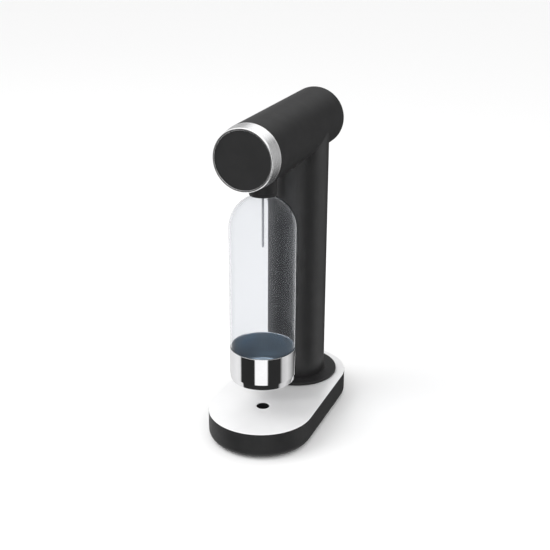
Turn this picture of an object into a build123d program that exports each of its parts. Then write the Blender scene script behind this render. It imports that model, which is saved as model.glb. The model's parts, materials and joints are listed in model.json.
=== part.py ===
"""Soda carbonator: a gas cylinder in a round column, a sprung knob that opens its valve, a hanging bottle.

Frame: +Z up, the front (the knob) faces -Y, the origin is on the ground at the middle of the base.
All lengths are in millimetres.
"""
from build123d import *
from math import cos, radians, sin
import os

os.makedirs("parts", exist_ok=True)

# ---------------------------------------------------------------- driving dimensions
base_r = 70.0              # the base is a stadium: two half rounds of this radius
base_arc_y = 64.5          # distance of each half round's centre from the origin
tray_z = 38.0              # top of the steel plate on the base
column_r = 40.2            # outer radius of the upright tube
head_r = 40.5              # outer radius of the horizontal head
head_z = 391.5             # height of the head's axis
bottle_y = -58.5           # the bottle hangs on this vertical axis
bottle_r = 43.0
column_y = base_arc_y      # the column stands on the base's rear centre
knob_front_y = -120.9
knob_depth = 21.3
wall = 2.5                 # moulded walls

# base
foot_h = 1.0
foot_r = 6.5
foot_seat = 1.0            # how far a foot is let into the base
foot_chamfer = 0.5
foot_x = 40.0
foot_y = 88.0
base_round = 10.0          # rounding under the base's side
plate_t = 1.0
plate_gap = 0.2            # all round, between the plate and the base's rim
plate_round = 0.6
plate_hole_r = 39.2        # under the column's foot
plate_low_z = tray_z - plate_t
frame_low_z = 30.0
frame_top_z = 33.0
frame_inset = 8.0
drain_r = 8.6              # the hole in the plate
drain_cup_r = 11.0
drain_cup_bore_r = 8.8
drain_flange_r = 14.6
drain_low_z = 14.0
drain_floor_z = 15.6
boss_r = 4.5
boss_pitch_x = 96.0
boss_pitch_y = 70.0
screw_r = 1.5
screw_head_r = 3.0
screw_head_h = 2.0
small_head_r = 2.4
small_head_h = 1.8
socket_across = 1.3        # radius of the six-sided drive socket in a screw's head
socket_depth = 1.2
boss_step_z = 19.0         # where the screw heads bear in the bosses
seat_r = 57.5              # the black ring at the foot of the column
seat_h = 3.5
seat_round = 0.8

# hatch under the gas cylinder
hatch_r = 35.0
hatch_low_z = 2.8
hatch_top_z = 8.8
hatch_gap = 0.3
hatch_wall = 3.5           # of the round rim that holds the hatch
hatch_lip_r = 31.6
hatch_lip_top_z = 11.0
grip_r = 20.0
grip_bar = 7.0
grip_depth = 4.5
pad_r = 22.0
pad_gap = 0.3

# gas cylinder
gas_r = 30.0
gas_low_z = 10.0
gas_straight_z = 304.0
gas_neck_r = 14.0
gas_neck_z = 338.0
gas_wall = 3.2
gas_floor_t = 8.0
gas_heel_round = 7.0
gas_bore_r = 8.0
neck_straight = 8.0        # the plain length of the cylinder's neck
valve_r = 10.52            # stands for the valve's thread, a running fit in the block
valve_gap = 0.08
valve_low_z = 322.0
valve_top_z = 364.6
valve_collar_top_z = 346.0
pin_r = 1.5
pin_gap = 0.08
pin_top_z = 365.3
poppet_z = 353.0
poppet_r = 4.2
poppet_h = 3.6
poppet_bore_r = 4.6
poppet_lift = 4.0          # from the poppet's underside to the seat above it
spring_seat_z = 340.0

# column
column_bore_r = 37.9
spine_in_r = 34.0
spine_out_r = 36.0
spine_half_w = 20.0
guide_in_r = 31.2
guide_out_r = 37.6
foot_plate_r = 39.0
guide_h = 3.0
guide_heights = (130.0, 250.0)
column_screw_orbit = 36.5
tab_length = 20.0
tab_width = 8.0
tab_h = 3.0

# head
head_front_y = -99.0
head_bore_r = 38.0
cap_low_y = 126.5
head_rear_y = base_arc_y + base_r
cap_round = 6.0
cap_lip = 4.0              # the cap's spigot inside the head's shell
head_hole_gap = 0.6
collar_gap = 0.3
bulkhead_r = 37.7
bulkhead_t = 4.0
front_bulkhead_y = -97.0
rear_bulkhead_y = 108.0
front_inner_y = front_bulkhead_y + bulkhead_t
rear_outer_y = rear_bulkhead_y + bulkhead_t
deck_low_z = 374.0         # the deck plate that carries the valve block and the nozzle block
deck_top_z = 377.0
deck_half_w = 26.0
shaft_r = 5.0
bush_r = 8.0
bush_flange_r = 10.0
bush_flange_t = 1.5
running_gap = 0.05

# knob: it turns the shaft, and an involute cam pushes the plunger down in proportion
knob_turn_deg = 45.0
plunger_travel = 3.0
cam_low_r = 9.0            # distance from the shaft's axis to the plunger's top at rest
cam_gap = 0.1
cam_width = 10.0
cam_hub_r = 8.0
cam_hub_length = 7.0
cam_pin_r = 1.2
clip_t = 1.0
clip_r = 8.0
clip_groove_r = 4.0
stop_pin_r = 2.0
stop_pin_orbit = 25.0
stop_pin_gap = 0.3
stop_pin_reach = 0.5
face_r = 35.9
face_recess = 0.4
face_gap = 0.05
ring_front_r = 38.6
ring_round = 1.6
hub_wall = 2.2
hub_boss_r = 10.0

# gas path
port_z = 368.4
port_r = 1.5
plunger_r = 3.0
plunger_gap = 0.05
plunger_disc_r = 7.0
plunger_disc_t = 2.0
tip_top_z = 369.4          # the plunger is as thin as the valve's pin below this height
seal_r = 4.4
seal_low_z = 371.4
seal_h = 1.6
washer_t = 1.4
washer_r = 9.5
chamber_r = 5.0
chamber_top_z = 370.3
block_low_z = 352.0
block_r = 17.0
block_screw_orbit = 13.8
nozzle_block_r = 19.0
nozzle_block_low_z = 364.0
tube_r = 1.5
tube_wall = 0.7
tube_lap = 3.0             # how far the tube enters a block
port_thread_r = 3.5
port_thread_depth = 4.0
nut_r = 5.0
nut_h = 7.0
relief_length = 10.5
relief_bore_x = 19.0       # the relief valve's wide bore starts this far from the column's axis
relief_bore_r = 3.0
relief_bore_length = 7.0
relief_disc_t = 2.0
relief_disc_r = 2.8
relief_stem_r = 1.2
relief_stem_length = 6.0
relief_gap = 0.1
nozzle_screw_x = 17.0
tab_screw_x = 7.0

# bottle and its socket
collar_low_z = 333.0
collar_r = 17.3
socket_r = 14.6
socket_flange_z = 361.5
socket_flange_r = 20.5
neck_r = 14.2
neck_bore_r = 12.2
mouth_z = 354.0
dome_z = 290.0             # centre height of the bottle's round shoulder
bottle_wall = 1.6
cup_low_z = 82.6
cup_top_z = 127.0
cup_wall = 1.1
liner_wall = 0.9
cup_foot_in = 1.3          # the cup's foot is drawn in by this much
cup_foot_h = 8.0           # over this height
cup_edge_round = 1.0
liner_round = 8.0
cup_rim_gap = 0.2          # between the cup's rim and the bottle's step
shoulder_round = 3.0
seal_bore_r = 4.0
seal_gap = 0.3
gasket_h = 3.2
nozzle_tip_z = 264.0
nozzle_tip_h = 8.0
tip_cone_h = 3.0
tip_front_r = 1.0
tip_bore_r = 0.4

# ---------------------------------------------------------------- planes, axes and helpers
ON_FLOOR = (Align.CENTER, Align.CENTER, Align.MIN)

bottle_plane = Plane.XZ.offset(-bottle_y)       # local x is the radius, local y is height
column_plane = Plane.XZ.offset(-column_y)
# local x runs along the head, local y is the radius
head_plane = Plane(origin=(0, 0, head_z), x_dir=(0, 1, 0), z_dir=(1, 0, 0))
bottle_axis = Axis((0, bottle_y, 0), (0, 0, 1))
column_axis = Axis((0, column_y, 0), (0, 0, 1))
head_axis = Axis((0, 0, head_z), (0, 1, 0))

tab_offset = spine_in_r - 3     # the tabs' screws from the column's axis
tab_screws = [(x, column_y + y) for x in (-tab_screw_x, tab_screw_x) for y in (-tab_offset, tab_offset)]
stop_arc = CenterArc((0, head_z), stop_pin_orbit, 90 - knob_turn_deg, knob_turn_deg)
foot_places = [(x, y) for x in (-foot_x, foot_x) for y in (-foot_y, foot_y)]
boss_places = GridLocations(boss_pitch_x, boss_pitch_y, 2, 3)


def band(x0, x1, y0, y1, mode=Mode.ADD):
    """A rectangle between two corners of the current sketch."""
    with Locations((x0, y0)):
        Rectangle(x1 - x0, y1 - y0, align=(Align.MIN, Align.MIN), mode=mode)


def stadium(radius):
    """The base's outline, or one inside it, as a sketch object."""
    SlotCenterToCenter(2 * base_arc_y, 2 * radius, rotation=90)


def post(x, y, low_z, high_z, radius, mode=Mode.ADD):
    """An upright cylinder between two heights."""
    with Locations((x, y, low_z)):
        Cylinder(radius, high_z - low_z, align=ON_FLOOR, mode=mode)


def across(x, y, z, length, radius, mode=Mode.ADD):
    """A level cylinder from a point, along +Y or, if its length is negative, along -Y."""
    with BuildSketch(Plane.XZ.offset(-y), mode=Mode.PRIVATE) as section:
        with Locations((x, z)):
            Circle(radius)
    extrude(section.sketch, amount=-length, mode=mode)


def sideways(x, y, z, length, radius, mode=Mode.ADD):
    """A level cylinder from a point, along +X or, if its length is negative, along -X."""
    with BuildSketch(Plane.YZ.offset(x), mode=Mode.PRIVATE) as section:
        with Locations((y, z)):
            Circle(radius)
    extrude(section.sketch, amount=length, mode=mode)


def save(piece, name):
    """Labels a finished piece and writes its STEP file."""
    piece.part.label = name
    export_step(piece.part, f"parts/{name}.step")


# ---------------------------------------------------------------- base
with BuildPart() as base_housing:
    with BuildSketch(Plane.XY.offset(foot_h)):
        stadium(base_r)
    extrude(amount=plate_low_z - foot_h)
    fillet(base_housing.edges().group_by(Axis.Z)[0], base_round)
    offset(amount=-wall, openings=base_housing.faces().sort_by(Axis.Z)[-1])
    with boss_places:
        post(0, 0, foot_h, frame_low_z, boss_r)
    post(0, column_y, foot_h, hatch_lip_top_z, hatch_r + hatch_wall)
    with boss_places:
        post(0, 0, foot_h, boss_step_z, screw_head_r + hatch_gap, Mode.SUBTRACT)
        post(0, 0, boss_step_z, frame_low_z, screw_r, Mode.SUBTRACT)
    post(0, column_y, foot_h, hatch_top_z + hatch_gap, hatch_r + hatch_gap, Mode.SUBTRACT)
    post(0, column_y, hatch_top_z, hatch_lip_top_z, hatch_lip_r, Mode.SUBTRACT)
    with Locations(*foot_places):
        post(0, 0, foot_h, foot_h + foot_seat, foot_r, Mode.SUBTRACT)
save(base_housing, "base_housing")

with BuildPart() as rubber_feet:
    with Locations(*foot_places):
        post(0, 0, 0, foot_h + foot_seat, foot_r)
    chamfer(rubber_feet.edges().group_by(Axis.Z)[0], foot_chamfer)
save(rubber_feet, "rubber_feet")

with BuildPart() as base_frame:
    with BuildSketch(Plane.XY.offset(frame_low_z)):
        stadium(base_r - frame_inset)
        with Locations((0, column_y)):
            Circle(hatch_lip_r, mode=Mode.SUBTRACT)
        with Locations((0, bottle_y)):
            Circle(drain_cup_r + plate_gap, mode=Mode.SUBTRACT)
        with boss_places:
            Circle(screw_r, mode=Mode.SUBTRACT)
        with Locations((0, column_y)):
            with PolarLocations(column_screw_orbit, 4, start_angle=45):
                Circle(screw_r, mode=Mode.SUBTRACT)
    extrude(amount=frame_top_z - frame_low_z)
save(base_frame, "base_frame")

with BuildPart() as base_screws:
    with boss_places:
        post(0, 0, boss_step_z - screw_head_h, boss_step_z, screw_head_r)
        post(0, 0, boss_step_z, frame_top_z, screw_r)
        with BuildSketch(Plane.XY.offset(boss_step_z - screw_head_h), mode=Mode.PRIVATE) as drive:
            RegularPolygon(socket_across, 6)
        extrude(drive.sketch, amount=socket_depth, mode=Mode.SUBTRACT)
save(base_screws, "base_screws")

with BuildPart() as drain_cup:
    with BuildSketch(bottle_plane):
        band(0, drain_cup_r, drain_low_z, plate_low_z)
        band(0, drain_flange_r, frame_top_z, plate_low_z)
        band(0, drain_cup_bore_r, drain_floor_z, plate_low_z, Mode.SUBTRACT)
    revolve(axis=bottle_axis)
save(drain_cup, "drain_cup")

with BuildPart() as top_plate:
    with BuildSketch(Plane.XY.offset(plate_low_z)):
        stadium(base_r - plate_gap)
    extrude(amount=plate_t)
    fillet(top_plate.edges().group_by(Axis.Z)[-1], plate_round)
    post(0, bottle_y, plate_low_z, tray_z, drain_r, Mode.SUBTRACT)
    post(0, column_y, plate_low_z, tray_z, plate_hole_r, Mode.SUBTRACT)
save(top_plate, "top_plate")

with BuildPart() as column_seat:
    post(0, column_y, tray_z, tray_z + seat_h, seat_r)
    fillet(column_seat.edges().group_by(Axis.Z)[-1], seat_round)
    post(0, column_y, tray_z, tray_z + seat_h, column_r + running_gap, Mode.SUBTRACT)
save(column_seat, "column_seat")

# ---------------------------------------------------------------- hatch under the gas cylinder
with BuildPart() as cylinder_hatch:
    post(0, column_y, hatch_low_z, hatch_top_z, hatch_r)
    chamfer(cylinder_hatch.edges().group_by(Axis.Z)[0], foot_chamfer)
    with BuildSketch(Plane.XY.offset(hatch_low_z)):
        with Locations((0, column_y)):
            Circle(grip_r)
            Rectangle(grip_bar, 2 * grip_r, mode=Mode.SUBTRACT)
    extrude(amount=grip_depth, mode=Mode.SUBTRACT)
save(cylinder_hatch, "cylinder_hatch")

with BuildPart() as hatch_pad:
    post(0, column_y, hatch_top_z, gas_low_z - pad_gap, pad_r)
save(hatch_pad, "hatch_pad")

# ---------------------------------------------------------------- column
with BuildPart() as column_frame:
    with BuildSketch(Plane.XY.offset(frame_top_z)):
        with Locations((0, column_y)):
            Circle(spine_out_r)
            Circle(spine_in_r, mode=Mode.SUBTRACT)
            Rectangle(2 * spine_half_w, 3 * spine_out_r, mode=Mode.INTERSECT)
    extrude(amount=deck_low_z - frame_top_z)
    post(0, column_y, frame_top_z, frame_top_z + guide_h, foot_plate_r)
    for guide_z in guide_heights:
        post(0, column_y, guide_z, guide_z + guide_h, guide_out_r)
    for side in (-1, 1):
        with Locations((0, column_y + side * tab_offset, deck_low_z - tab_h)):
            Box(tab_length, tab_width, tab_h, align=ON_FLOOR)
    with Locations(*tab_screws):
        post(0, 0, deck_low_z - tab_h, deck_low_z, screw_r, Mode.SUBTRACT)
    post(0, column_y, frame_top_z, deck_low_z - tab_h - 1, guide_in_r, Mode.SUBTRACT)
    across(0, column_y, port_z, -column_r, tube_r + 1, Mode.SUBTRACT)
    with Locations((0, column_y)):
        with PolarLocations(column_screw_orbit, 4, start_angle=45):
            post(0, 0, frame_top_z, frame_top_z + guide_h, screw_r, Mode.SUBTRACT)
save(column_frame, "column_frame")

with BuildPart() as column_screws:
    with Locations((0, column_y)):
        with PolarLocations(column_screw_orbit, 4, start_angle=45):
            post(0, 0, frame_low_z, frame_top_z + guide_h, screw_r)
            post(0, 0, frame_top_z + guide_h, frame_top_z + guide_h + small_head_h, small_head_r)
save(column_screws, "column_screws")

with BuildPart() as column_tube:
    post(0, column_y, tray_z, head_z, column_r)
    post(0, column_y, tray_z, head_z, column_bore_r, Mode.SUBTRACT)
    with BuildSketch(head_plane):
        band(head_front_y, head_rear_y, 0, head_r)
    revolve(axis=head_axis, mode=Mode.SUBTRACT)
save(column_tube, "column_tube")

# ---------------------------------------------------------------- head
with BuildPart() as head_shell:
    with BuildSketch(head_plane):
        band(head_front_y, cap_low_y, head_bore_r, head_r)
    revolve(axis=head_axis)
    post(0, column_y, head_z - head_r - 1, head_z, spine_out_r + head_hole_gap, Mode.SUBTRACT)
    post(0, bottle_y, head_z - head_r - 1, head_z, collar_r + collar_gap, Mode.SUBTRACT)
save(head_shell, "head_shell")

with BuildPart() as head_rear_cap:
    with BuildSketch(head_plane):
        band(cap_low_y, head_rear_y, 0, head_r)
    revolve(axis=head_axis)
    fillet(head_rear_cap.edges().group_by(Axis.Y)[-1], cap_round)
    with BuildSketch(head_plane):
        band(cap_low_y - cap_lip, cap_low_y, head_bore_r - cap_lip + 1, head_bore_r)
    revolve(axis=head_axis)
    with BuildSketch(head_plane):
        band(cap_low_y, head_rear_y - wall, 0, head_bore_r - cap_round)
    revolve(axis=head_axis, mode=Mode.SUBTRACT)
save(head_rear_cap, "head_rear_cap")

with BuildPart() as head_frame:
    with BuildSketch(head_plane):
        band(front_bulkhead_y, front_inner_y, 0, bulkhead_r)
        band(rear_bulkhead_y, rear_outer_y, 0, bulkhead_r)
    revolve(axis=head_axis)
    with BuildSketch(Plane.XY.offset(deck_low_z)):
        band(-deck_half_w, deck_half_w, front_bulkhead_y, rear_bulkhead_y)
        with Locations((0, column_y)):
            Circle(washer_r, mode=Mode.SUBTRACT)
        with Locations((0, column_y)):
            with PolarLocations(block_screw_orbit, 4, start_angle=45):
                Circle(screw_r, mode=Mode.SUBTRACT)
        with Locations((-nozzle_screw_x, bottle_y), (nozzle_screw_x, bottle_y)):
            Circle(screw_r, mode=Mode.SUBTRACT)
        with Locations(*tab_screws):
            Circle(screw_r, mode=Mode.SUBTRACT)
    extrude(amount=deck_top_z - deck_low_z)
    with BuildSketch(head_plane):
        band(front_bulkhead_y, rear_outer_y, 0, bush_r)
    revolve(axis=head_axis, mode=Mode.SUBTRACT)
    with BuildSketch(Plane.XZ.offset(-front_bulkhead_y)):
        SlotArc(stop_arc, 2 * (stop_pin_r + stop_pin_gap))
    extrude(amount=-bulkhead_t, mode=Mode.SUBTRACT)
save(head_frame, "head_frame")

with BuildPart() as frame_screws:
    screw_places = [(x, bottle_y) for x in (-nozzle_screw_x, nozzle_screw_x)]
    screw_places += tab_screws
    reach = block_screw_orbit * cos(radians(45))
    screw_places += [(x, column_y + y) for x in (-reach, reach) for y in (-reach, reach)]
    with Locations(*screw_places):
        post(0, 0, socket_flange_z, deck_top_z, screw_r)
        post(0, 0, deck_top_z, deck_top_z + small_head_h, small_head_r)
save(frame_screws, "frame_screws")

with BuildPart() as shaft_bushes:
    with BuildSketch(head_plane):
        band(front_bulkhead_y, front_inner_y, shaft_r + running_gap, bush_r)
        band(front_inner_y, front_inner_y + bush_flange_t, shaft_r + running_gap, bush_flange_r)
        band(rear_bulkhead_y, rear_outer_y, shaft_r + running_gap, bush_r)
        band(rear_bulkhead_y - bush_flange_t, rear_bulkhead_y, shaft_r + running_gap, bush_flange_r)
    revolve(axis=head_axis)
save(shaft_bushes, "shaft_bushes")

# ---------------------------------------------------------------- knob, shaft and cam
knob_rear_y = knob_front_y + knob_depth
hub_rear_y = knob_rear_y - 1
web_front_y = knob_front_y + 1.5
web_rear_y = web_front_y + 3
hub_r = face_r - face_gap
stop_pin_z = head_z + stop_pin_orbit

with BuildPart() as knob_ring:
    with BuildSketch(head_plane):
        with BuildLine():
            Polyline((knob_front_y, face_r), (knob_front_y, ring_front_r),
                     (knob_rear_y, head_r), (knob_rear_y, face_r), close=True)
        make_face()
    revolve(axis=head_axis)
    fillet(knob_ring.edges().group_by(Axis.Y)[0].sort_by(SortBy.RADIUS)[-1], ring_round)
save(knob_ring, "knob_ring")

with BuildPart() as knob_face:
    with BuildSketch(head_plane):
        band(knob_front_y + face_recess, web_front_y, 0, hub_r)
    revolve(axis=head_axis)
save(knob_face, "knob_face")

with BuildPart() as knob_hub:
    with BuildSketch(head_plane):
        band(web_front_y, web_rear_y, shaft_r, hub_r)
        band(web_rear_y, hub_rear_y, hub_r - hub_wall, hub_r)
        band(web_rear_y, hub_rear_y, shaft_r, hub_boss_r)
    revolve(axis=head_axis)
    across(0, web_front_y, stop_pin_z, hub_rear_y - web_front_y, 2 * stop_pin_r)
    across(0, web_rear_y, stop_pin_z, hub_rear_y - web_rear_y, stop_pin_r, Mode.SUBTRACT)
save(knob_hub, "knob_hub")

with BuildPart() as stop_pin:
    across(0, web_rear_y, stop_pin_z, front_inner_y - web_rear_y - stop_pin_reach, stop_pin_r)
save(stop_pin, "stop_pin")

shaft_front_y = web_front_y + 1
shaft_rear_y = rear_outer_y + 3
cam_low_y = column_y - cam_width / 2
cam_high_y = cam_low_y + cam_width
cam_pin_y = cam_high_y + cam_hub_length / 2
clip_y = rear_outer_y + 0.3

with BuildPart() as drive_shaft:
    with BuildSketch(head_plane):
        band(shaft_front_y, shaft_rear_y, 0, shaft_r)
        band(clip_y, clip_y + clip_t, clip_groove_r, shaft_r, Mode.SUBTRACT)
    revolve(axis=head_axis)
    chamfer(drive_shaft.edges().group_by(Axis.Y)[-1], 0.6)
    post(0, cam_pin_y, head_z - cam_hub_r, head_z + cam_hub_r, cam_pin_r, Mode.SUBTRACT)
save(drive_shaft, "drive_shaft")

with BuildPart() as shaft_clip:
    with BuildSketch(head_plane):
        band(clip_y, clip_y + clip_t, clip_groove_r, clip_r)
    revolve(axis=head_axis)
save(shaft_clip, "shaft_clip")

# The cam's rim is an involute, so its lowest point falls by the same amount for each degree.
cam_rate = plunger_travel / radians(knob_turn_deg)


def cam_point(angle_deg):
    """The rim's point that touches a flat follower once the knob has turned by this angle."""
    angle = radians(angle_deg)
    reach = cam_low_r + cam_rate * angle
    across = reach * sin(angle) + cam_rate * cos(angle)
    down = reach * cos(angle) - cam_rate * sin(angle)
    return (across, head_z - down)


with BuildPart() as cam:
    with BuildSketch(Plane.XZ.offset(-cam_low_y)):
        with BuildLine():
            rim = Spline(*[cam_point(angle) for angle in range(-20, 71, 10)])
            ThreePointArc(rim @ 1, (0, head_z + cam_low_r), rim @ 0)
        make_face()
    extrude(amount=-cam_width)
    with BuildSketch(head_plane):
        band(cam_high_y, cam_high_y + cam_hub_length, 0, cam_hub_r)
    revolve(axis=head_axis)
    with BuildSketch(head_plane):
        band(cam_low_y, cam_high_y + cam_hub_length, 0, shaft_r)
    revolve(axis=head_axis, mode=Mode.SUBTRACT)
    post(0, cam_pin_y, head_z - head_r, head_z + head_r, cam_pin_r, Mode.SUBTRACT)
save(cam, "cam")

with BuildPart() as cam_pin:
    post(0, cam_pin_y, head_z - cam_hub_r, head_z + cam_hub_r, cam_pin_r)
save(cam_pin, "cam_pin")


def coil(start, direction, radius, length, turns, wire_r):
    """A coil spring's wire, from its start along its axis, as a finished solid."""
    path = Helix(length / turns, length, radius, center=start, direction=direction, mode=Mode.PRIVATE)
    with BuildPart(mode=Mode.PRIVATE) as spring:
        with BuildSketch(Plane(origin=path @ 0, z_dir=path % 0)):
            Circle(wire_r)
        sweep(path=path, is_frenet=True)
    return spring.part


with BuildPart() as knob_spring:
    add(coil((0, front_inner_y + 4, head_z), (0, 1, 0), radius=8.5, length=8, turns=4, wire_r=0.8))
save(knob_spring, "knob_spring")

# ---------------------------------------------------------------- valve block, plunger and relief valve
washer_low_z = valve_top_z + 0.3
washer_top_z = washer_low_z + washer_t
port_low_x = block_r - port_thread_depth

with BuildPart() as valve_block:
    with BuildSketch(column_plane):
        band(0, block_r, block_low_z, deck_low_z)
        band(0, valve_r + valve_gap, block_low_z, washer_top_z, Mode.SUBTRACT)
        band(0, chamber_r, washer_top_z, chamber_top_z, Mode.SUBTRACT)
        band(0, plunger_r + plunger_gap, chamber_top_z, deck_low_z, Mode.SUBTRACT)
        band(0, seal_r, seal_low_z, seal_low_z + seal_h, Mode.SUBTRACT)
    revolve(axis=column_axis)
    chamfer(valve_block.edges().group_by(Axis.Z)[0].sort_by(SortBy.RADIUS)[-1], 1)
    with Locations((0, column_y)):
        with PolarLocations(block_screw_orbit, 4, start_angle=45):
            post(0, 0, socket_flange_z, deck_low_z, screw_r, Mode.SUBTRACT)
    sideways(0, column_y, port_z, block_r, port_r, Mode.SUBTRACT)
    sideways(port_low_x, column_y, port_z, port_thread_depth, port_thread_r, Mode.SUBTRACT)
    across(0, column_y, port_z, -block_r, port_r, Mode.SUBTRACT)
    across(0, column_y - port_low_x, port_z, -port_thread_depth, port_thread_r, Mode.SUBTRACT)
save(valve_block, "valve_block")

with BuildPart() as plunger_seal:
    with BuildSketch(column_plane):
        band(plunger_r + plunger_gap, seal_r, seal_low_z, seal_low_z + seal_h)
    revolve(axis=column_axis)
save(plunger_seal, "plunger_seal")

with BuildPart() as cylinder_washer:
    with BuildSketch(column_plane):
        band(seal_bore_r, washer_r, washer_low_z, washer_top_z)
    revolve(axis=column_axis)
save(cylinder_washer, "cylinder_washer")

plunger_top_z = head_z - cam_low_r - cam_gap
with BuildPart() as plunger:
    with BuildSketch(column_plane):
        band(0, pin_r, pin_top_z + 0.3, tip_top_z)
        band(0, plunger_r, tip_top_z, plunger_top_z)
        band(0, plunger_disc_r, plunger_top_z - plunger_disc_t, plunger_top_z)
    revolve(axis=column_axis)
save(plunger, "plunger")

with BuildPart() as plunger_spring:
    add(coil((0, column_y, deck_low_z + 0.4), (0, 0, 1), radius=5, length=5.4, turns=3, wire_r=0.35))
save(plunger_spring, "plunger_spring")

relief_disc_x = relief_bore_x + relief_gap

with BuildPart() as relief_valve:
    sideways(port_low_x, column_y, port_z, port_thread_depth, port_thread_r)
    with BuildSketch(Plane.YZ.offset(block_r)):
        with Locations((column_y, port_z)):
            RegularPolygon(nut_r, 6)
    extrude(amount=relief_length)
    sideways(port_low_x, column_y, port_z, port_thread_depth + relief_length, port_r, Mode.SUBTRACT)
    sideways(relief_bore_x, column_y, port_z, relief_bore_length, relief_bore_r, Mode.SUBTRACT)
save(relief_valve, "relief_valve")

with BuildPart() as relief_poppet:
    sideways(relief_disc_x, column_y, port_z, relief_disc_t, relief_disc_r)
    sideways(relief_disc_x, column_y, port_z, relief_disc_t + relief_stem_length, relief_stem_r)
save(relief_poppet, "relief_poppet")

with BuildPart() as relief_spring:
    start = (relief_disc_x + relief_disc_t + 0.4, column_y, port_z)
    add(coil(start, (1, 0, 0), radius=2.1, length=4.1, turns=4, wire_r=0.35))
save(relief_spring, "relief_spring")

# ---------------------------------------------------------------- gas cylinder
neck_low_z = gas_neck_z - neck_straight
shoulder_pull = 15.0       # the shoulder's curve keeps to the wall and the neck for this far

with BuildPart() as gas_cylinder:
    with BuildSketch(column_plane):
        with BuildLine():
            Polyline((0, gas_low_z), (gas_r, gas_low_z), (gas_r, gas_straight_z))
            Bezier((gas_r, gas_straight_z), (gas_r, gas_straight_z + shoulder_pull),
                   (gas_neck_r, neck_low_z - shoulder_pull), (gas_neck_r, neck_low_z))
            Polyline((gas_neck_r, neck_low_z), (gas_neck_r, gas_neck_z), (0, gas_neck_z), (0, gas_low_z))
        make_face()
    revolve(axis=column_axis)
    fillet(gas_cylinder.edges().group_by(Axis.Z)[0], gas_heel_round)
    with BuildSketch(column_plane):
        band(0, gas_r - gas_wall, gas_low_z + gas_floor_t, gas_straight_z)
        band(0, gas_bore_r, gas_straight_z, gas_neck_z)
    revolve(axis=column_axis, mode=Mode.SUBTRACT)
save(gas_cylinder, "gas_cylinder")

with BuildPart() as cylinder_valve:
    with BuildSketch(column_plane):
        band(0, gas_bore_r, valve_low_z, gas_neck_z)
        band(0, gas_neck_r, gas_neck_z, valve_collar_top_z)
        band(0, valve_r, valve_collar_top_z, valve_top_z)
        band(0, pin_r, valve_low_z, spring_seat_z, Mode.SUBTRACT)
        band(0, poppet_bore_r, spring_seat_z, poppet_z + poppet_lift, Mode.SUBTRACT)
        band(0, pin_r + pin_gap, poppet_z + poppet_lift, valve_top_z, Mode.SUBTRACT)
    revolve(axis=column_axis)
    chamfer(cylinder_valve.edges().group_by(Axis.Z)[-1].sort_by(SortBy.RADIUS)[-1], 0.8)
save(cylinder_valve, "cylinder_valve")

with BuildPart() as valve_pin:
    with BuildSketch(column_plane):
        band(0, pin_r, poppet_z, pin_top_z)
        band(0, poppet_r, poppet_z, poppet_z + poppet_h)
    revolve(axis=column_axis)
save(valve_pin, "valve_pin")

with BuildPart() as valve_spring:
    add(coil((0, column_y, spring_seat_z + 0.7), (0, 0, 1), radius=3, length=11.2, turns=5, wire_r=0.5))
save(valve_spring, "valve_spring")

# ---------------------------------------------------------------- gas line to the nozzle
block_face_y = column_y - block_r
nozzle_face_y = bottle_y + nozzle_block_r
tube_length = block_face_y - nozzle_face_y + 2 * tube_lap
tip_top = nozzle_tip_z + nozzle_tip_h

with BuildPart() as nozzle_block:
    with BuildSketch(bottle_plane):
        band(0, nozzle_block_r, nozzle_block_low_z, deck_low_z)
        band(0, tube_r, nozzle_block_low_z, port_z, Mode.SUBTRACT)
    revolve(axis=bottle_axis)
    across(0, bottle_y, port_z, nozzle_block_r, port_r, Mode.SUBTRACT)
    across(0, nozzle_face_y - port_thread_depth, port_z, port_thread_depth, port_thread_r, Mode.SUBTRACT)
    with Locations((-nozzle_screw_x, bottle_y), (nozzle_screw_x, bottle_y)):
        post(0, 0, nozzle_block_low_z, deck_low_z, screw_r, Mode.SUBTRACT)
save(nozzle_block, "nozzle_block")

with BuildPart() as tube_nuts:
    for face_y, side in ((block_face_y, -1), (nozzle_face_y, 1)):
        with BuildSketch(Plane.XZ.offset(-face_y)):
            with Locations((0, port_z)):
                RegularPolygon(nut_r, 6)
        extrude(amount=-side * nut_h)
        across(0, face_y, port_z, -side * port_thread_depth, port_thread_r)
    across(0, bottle_y, port_z, column_y - bottle_y, tube_r, Mode.SUBTRACT)
save(tube_nuts, "tube_nuts")

with BuildPart() as gas_tube:
    across(0, nozzle_face_y - tube_lap, port_z, tube_length, tube_r)
    across(0, nozzle_face_y - tube_lap, port_z, tube_length, tube_r - tube_wall, Mode.SUBTRACT)
save(gas_tube, "gas_tube")

with BuildPart() as nozzle_tube:
    with BuildSketch(bottle_plane):
        band(tube_r - tube_wall, tube_r, tip_top, port_z)
    revolve(axis=bottle_axis)
save(nozzle_tube, "nozzle_tube")

with BuildPart() as nozzle_tip:
    with BuildSketch(bottle_plane):
        with BuildLine():
            Polyline((tip_bore_r, nozzle_tip_z), (tip_front_r, nozzle_tip_z),
                     (tube_r, nozzle_tip_z + tip_cone_h), (tube_r, tip_top),
                     (tip_bore_r, tip_top), close=True)
        make_face()
    revolve(axis=bottle_axis)
save(nozzle_tip, "nozzle_tip")

# ---------------------------------------------------------------- bottle socket and its swivelling seal
with BuildPart() as bottle_socket:
    with BuildSketch(bottle_plane):
        band(socket_r, collar_r, collar_low_z, socket_flange_z)
        band(socket_r, socket_flange_r, socket_flange_z, nozzle_block_low_z)
    revolve(axis=bottle_axis)
    fillet(bottle_socket.edges().group_by(Axis.Z)[0].sort_by(SortBy.RADIUS)[-1], seat_round)
    with Locations((-nozzle_screw_x, bottle_y), (nozzle_screw_x, bottle_y)):
        post(0, 0, socket_flange_z, nozzle_block_low_z, screw_r, Mode.SUBTRACT)
save(bottle_socket, "bottle_socket")

gasket_top_z = mouth_z + seal_gap + gasket_h

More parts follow.
